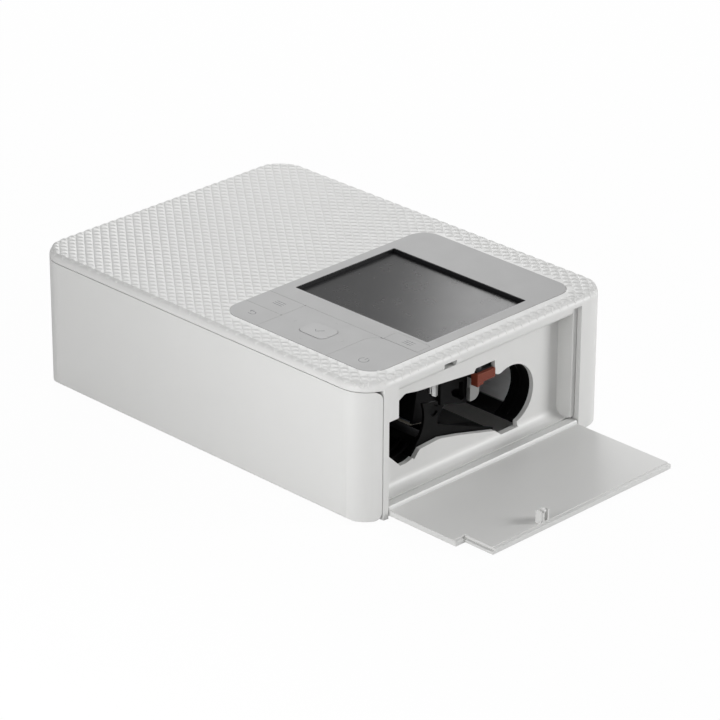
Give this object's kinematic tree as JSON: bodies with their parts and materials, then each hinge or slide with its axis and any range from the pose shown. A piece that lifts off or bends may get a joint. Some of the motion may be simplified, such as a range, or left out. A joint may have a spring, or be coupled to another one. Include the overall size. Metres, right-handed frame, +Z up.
{
  "type": "compact photo printer",
  "caption": "Compact tabletop photo printer with a tilt-free screen and keys on top, a drop-down front cover and a side door over the ribbon bay.",
  "frame": {"origin": "bottom centre of the whole object at rest, with the side door lying open, on the table", "axes": "+Z up, +X along the long side towards the side door, +Y to the rear"},
  "size_m": [0.2294, 0.133, 0.0576],
  "materials": {
    "case_white": "fine satin moulding",
    "base_grey": "matte moulding",
    "panel_grey": "satin",
    "ok_grey": "satin",
    "foot_rubber": "matte",
    "platen_black": "fine ground",
    "screw_black": "blackened",
    "pin_steel": "ground",
    "screen": "glossy screen glass",
    "bay_steel": "bright tin plated",
    "sheet_steel": "zinc plated",
    "board_green": "lacquered",
    "chip_black": "matte",
    "black_gloss": "glossy moulding",
    "lever_brown": "satin",
    "arm_white": "satin",
    "gear_white": "moulded",
    "arm_dark": "blackened steel",
    "sink_alu": "extruded",
    "head_ceramic": "glazed",
    "cable_white": "film",
    "motor_can": "drawn can",
    "pinion_brass": "cut",
    "inlet_black": "matte"
  },
  "bodies": {
    "housing": {"upper_case": "case_white", "base_plate": "base_grey", "front_panel": "case_white", "side_frame": "case_white", "rubber_feet": "foot_rubber", "case_screws": "screw_black", "front_hinge_pins": "pin_steel", "door_hinge_pins": "pin_steel", "control_panel": "panel_grey", "screen_glass": "screen", "screen_tray": "sheet_steel", "key_board": "board_green", "ink_bay": "black_gloss", "bay_back_sheet": "bay_steel", "lever_spring": "pin_steel", "latch_catch": "inlet_black", "left_frame": "sheet_steel", "right_frame": "sheet_steel", "roller_bushes": "gear_white", "head_pivots": "pin_steel", "gear_studs": "pin_steel", "motor": "motor_can", "motor_bracket": "sheet_steel", "main_board": "board_green", "board_spacers": "gear_white", "board_parts": "chip_black", "power_inlet": "inlet_black", "usb_port": "sheet_steel", "card_slot": "sheet_steel", "paper_guide": "black_gloss"},
    "front_cover": {"front_cover": "case_white"},
    "side_door": {"side_door": "case_white"},
    "ok_key": {"ok_key": "ok_grey"},
    "arrow_key": {"arrow_key": "panel_grey"},
    "menu_key": {"menu_key": "panel_grey"},
    "back_key": {"back_key": "panel_grey"},
    "edit_key": {"edit_key": "panel_grey"},
    "power_key": {"power_key": "panel_grey"},
    "cassette_lock": {"lock_lever": "lever_brown", "lever_slide": "inlet_black", "lock_arm": "arm_white"},
    "platen": {"platen_shaft": "pin_steel", "platen_rubber": "platen_black", "platen_gear": "gear_white"},
    "feed_roller": {"feed_shaft": "pin_steel", "feed_rubber": "platen_black"},
    "grip_roller": {"grip_roller": "pin_steel", "grip_gear": "gear_white"},
    "pinch_roller": {"pinch_roller": "pin_steel"},
    "print_head": {"head_arm": "arm_dark", "heat_sink": "sink_alu", "thermal_head": "head_ceramic", "head_cable": "cable_white"},
    "takeup": {"takeup_hub": "gear_white", "takeup_gear": "gear_white"},
    "supply": {"supply_hub": "gear_white"},
    "idler": {"idler_gear": "gear_white"},
    "second": {"second_gear": "gear_white"},
    "pinion": {"motor_shaft": "pin_steel", "motor_pinion": "pinion_brass"}
  },
  "joints": [
    {"name": "side_door_hinge", "type": "hinge", "parent": "housing", "child": "side_door", "pos_m": [0.06525, 0, 0.0042], "axis": [0, 1, 0], "range_deg": [-90, 0]},
    {"name": "front_cover_hinge", "type": "hinge", "parent": "housing", "child": "front_cover", "pos_m": [-0.02365, -0.0623, 0.0052], "axis": [1, 0, 0], "range_deg": [0, 90]},
    {"name": "ok_key_press", "type": "slide", "parent": "housing", "child": "ok_key", "axis": [0, 0, -1], "range_m": [0, 0.0004], "stiffness_N_per_m": 250, "springref_m": -0.0004},
    {"name": "arrow_key_press", "type": "slide", "parent": "housing", "child": "arrow_key", "axis": [0, 0, -1], "range_m": [0, 0.0004], "stiffness_N_per_m": 250, "springref_m": -0.0004},
    {"name": "menu_key_press", "type": "slide", "parent": "housing", "child": "menu_key", "axis": [0, 0, -1], "range_m": [0, 0.0004], "stiffness_N_per_m": 250, "springref_m": -0.0004},
    {"name": "back_key_press", "type": "slide", "parent": "housing", "child": "back_key", "axis": [0, 0, -1], "range_m": [0, 0.0004], "stiffness_N_per_m": 250, "springref_m": -0.0004},
    {"name": "edit_key_press", "type": "slide", "parent": "housing", "child": "edit_key", "axis": [0, 0, -1], "range_m": [0, 0.0004], "stiffness_N_per_m": 250, "springref_m": -0.0004},
    {"name": "power_key_press", "type": "slide", "parent": "housing", "child": "power_key", "axis": [0, 0, -1], "range_m": [0, 0.0004], "stiffness_N_per_m": 250, "springref_m": -0.0004},
    {"name": "cassette_lock_lift", "type": "slide", "parent": "housing", "child": "cassette_lock", "axis": [0, 0, 1], "range_m": [0, 0.0018], "stiffness_N_per_m": 150, "springref_m": -0.001, "deforming": ["lever_spring"]},
    {"name": "print_head_swing", "type": "hinge", "parent": "housing", "child": "print_head", "pos_m": [-0.00365, -0.0005, 0.0378], "axis": [1, 0, 0], "range_deg": [0, 9.5], "stiffness_Nm_per_rad": 0.25, "springref_deg": -6.88},
    {"name": "idler_spin", "type": "hinge", "parent": "housing", "child": "idler", "pos_m": [-0.06845, -0.00839, 0.02165], "axis": [1, 0, 0], "continuous": true},
    {"name": "platen_spin", "type": "hinge", "parent": "housing", "child": "platen", "pos_m": [-0.00365, -0.0175, 0.0116], "axis": [1, 0, 0], "continuous": true},
    {"name": "grip_spin", "type": "hinge", "parent": "housing", "child": "grip_roller", "pos_m": [-0.00365, -0.0055, 0.0084], "axis": [1, 0, 0], "continuous": true},
    {"name": "pinion_spin", "type": "hinge", "parent": "housing", "child": "pinion", "pos_m": [-0.06845, -0.02192, 0.02259], "axis": [1, 0, 0], "continuous": true},
    {"name": "second_spin", "type": "hinge", "parent": "housing", "child": "second", "pos_m": [-0.06845, 0.00587, 0.02903], "axis": [1, 0, 0], "continuous": true},
    {"name": "takeup_spin", "type": "hinge", "parent": "housing", "child": "takeup", "pos_m": [-0.00365, 0.021, 0.0223], "axis": [1, 0, 0], "continuous": true},
    {"name": "feed_spin", "type": "hinge", "parent": "housing", "child": "feed_roller", "pos_m": [-0.00365, -0.0265, 0.0108], "axis": [1, 0, 0], "continuous": true},
    {"name": "pinch_spin", "type": "hinge", "parent": "housing", "child": "pinch_roller", "pos_m": [-0.00365, -0.0055, 0.012], "axis": [1, 0, 0], "continuous": true},
    {"name": "supply_spin", "type": "hinge", "parent": "housing", "child": "supply", "pos_m": [-0.00365, -0.038, 0.028], "axis": [1, 0, 0], "continuous": true}
  ],
  "couplings": [
    {"joint": "platen_spin", "follows": "idler_spin", "ratio": -2},
    {"joint": "grip_spin", "follows": "idler_spin", "ratio": -2},
    {"joint": "pinion_spin", "follows": "idler_spin", "ratio": -2},
    {"joint": "second_spin", "follows": "idler_spin", "ratio": -1.2857},
    {"joint": "takeup_spin", "follows": "idler_spin", "ratio": 0.94737}
  ]
}
